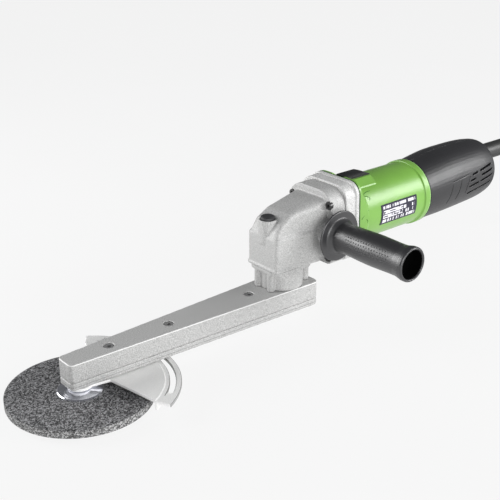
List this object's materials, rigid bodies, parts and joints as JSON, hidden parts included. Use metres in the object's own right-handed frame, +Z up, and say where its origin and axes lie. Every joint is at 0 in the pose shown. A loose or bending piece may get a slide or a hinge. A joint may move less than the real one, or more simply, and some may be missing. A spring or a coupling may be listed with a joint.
{
  "type": "fillet weld grinder",
  "caption": "Hand held electric grinder with a long belt driven arm that carries a flat disc wheel under a slotted swivel guard, for smoothing fillet welds in narrow corners.",
  "frame": {"origin": "on the grinding wheel's axis, at the underside of the nut that clamps the wheel", "axes": "+X along the arm and the motor from the wheel to the cord, +Y away from the side handle, +Z up"},
  "size_m": [0.99, 0.2786, 0.1616],
  "materials": {
    "cast_aluminium": "satin",
    "steel": "satin",
    "polished_steel": "polished",
    "black_screw": "satin",
    "abrasive": "matte",
    "green_plastic": "gloss",
    "black_plastic": "matte",
    "black_rubber": "matte",
    "laminations": "matte",
    "copper": "satin",
    "brass": "satin",
    "carbon": "matte",
    "plate_film": "satin",
    "board": "matte"
  },
  "bodies": {
    "tool_body": {"arm_upper_housing": "cast_aluminium", "arm_lower_cover": "cast_aluminium", "arm_screws": "black_screw", "collar": "cast_aluminium", "collar_screws": "black_screw", "gear_head": "cast_aluminium", "gear_case": "cast_aluminium", "gear_case_screws": "black_screw", "motor_housing": "green_plastic", "rear_handle_left": "black_plastic", "rear_handle_right": "black_plastic", "rear_handle_screws": "steel", "side_handle_grip": "black_plastic", "side_handle_stud": "steel", "drive_belt": "black_rubber", "wheel_bearings": "steel", "spindle_bearings": "steel", "pinion_bearings": "steel", "motor_bearings": "steel", "stator_core": "laminations", "stator_coils": "copper", "fan_baffle": "black_plastic", "brush_holders": "brass", "carbon_brushes": "carbon", "switch_box": "black_plastic", "control_module": "board", "cord_clamp": "black_plastic", "cord_clamp_screws": "steel", "rating_plate": "plate_film", "cord_lead": "black_rubber", "cord_boot": "black_rubber", "power_cord": "black_rubber", "cord_coil": "black_rubber", "cord_tail": "black_rubber", "coil_tie": "black_plastic", "plug_body": "black_rubber", "plug_pins": "brass", "guard_clamp_screw": "black_screw", "lock_spring": "steel"},
    "wheel": {"wheel_spindle": "steel", "driven_pulley": "steel", "wheel_flange": "polished_steel", "grinding_wheel": "abrasive", "wheel_nut": "steel"},
    "drive_spindle": {"drive_spindle": "steel", "drive_pulley": "steel", "bevel_wheel": "steel"},
    "pinion_shaft": {"bevel_pinion_shaft": "steel", "spur_gear": "steel"},
    "armature": {"armature_shaft": "steel", "armature_core": "laminations", "armature_windings": "copper", "commutator": "copper", "cooling_fan": "black_plastic"},
    "guard": {"guard": "cast_aluminium"},
    "switch": {"switch_knob": "black_plastic", "switch_rod": "steel"},
    "lock_button": {"lock_button": "black_plastic"}
  },
  "joints": [
    {"name": "armature_spin", "type": "hinge", "parent": "tool_body", "child": "armature", "pos_m": [0.42, 0, 0.1134], "axis": [1, 0, 0], "continuous": true},
    {"name": "pinion_shaft_spin", "type": "hinge", "parent": "tool_body", "child": "pinion_shaft", "pos_m": [0.32, 0, 0.0944], "axis": [1, 0, 0], "continuous": true},
    {"name": "drive_spindle_spin", "type": "hinge", "parent": "tool_body", "child": "drive_spindle", "pos_m": [0.27, 0, 0.07], "axis": [0, 0, 1], "continuous": true},
    {"name": "wheel_spin", "type": "hinge", "parent": "tool_body", "child": "wheel", "pos_m": [0, 0, 0.02], "axis": [0, 0, 1], "continuous": true},
    {"name": "guard_swivel", "type": "hinge", "parent": "tool_body", "child": "guard", "pos_m": [0, 0, 0.0185], "axis": [0, 0, 1], "range_deg": [-40, 45]},
    {"name": "switch_slide", "type": "slide", "parent": "tool_body", "child": "switch", "axis": [-1, 0, 0], "range_m": [0, 0.006]},
    {"name": "lock_button_press", "type": "slide", "parent": "tool_body", "child": "lock_button", "axis": [0, 0, -1], "range_m": [0, 0.0022], "stiffness_N_per_m": 1500, "springref_m": -0.001, "deforming": ["lock_spring"]}
  ],
  "couplings": [
    {"joint": "pinion_shaft_spin", "follows": "armature_spin", "ratio": -0.31034},
    {"joint": "drive_spindle_spin", "follows": "armature_spin", "ratio": -0.077586},
    {"joint": "wheel_spin", "follows": "armature_spin", "ratio": -0.15517}
  ]
}
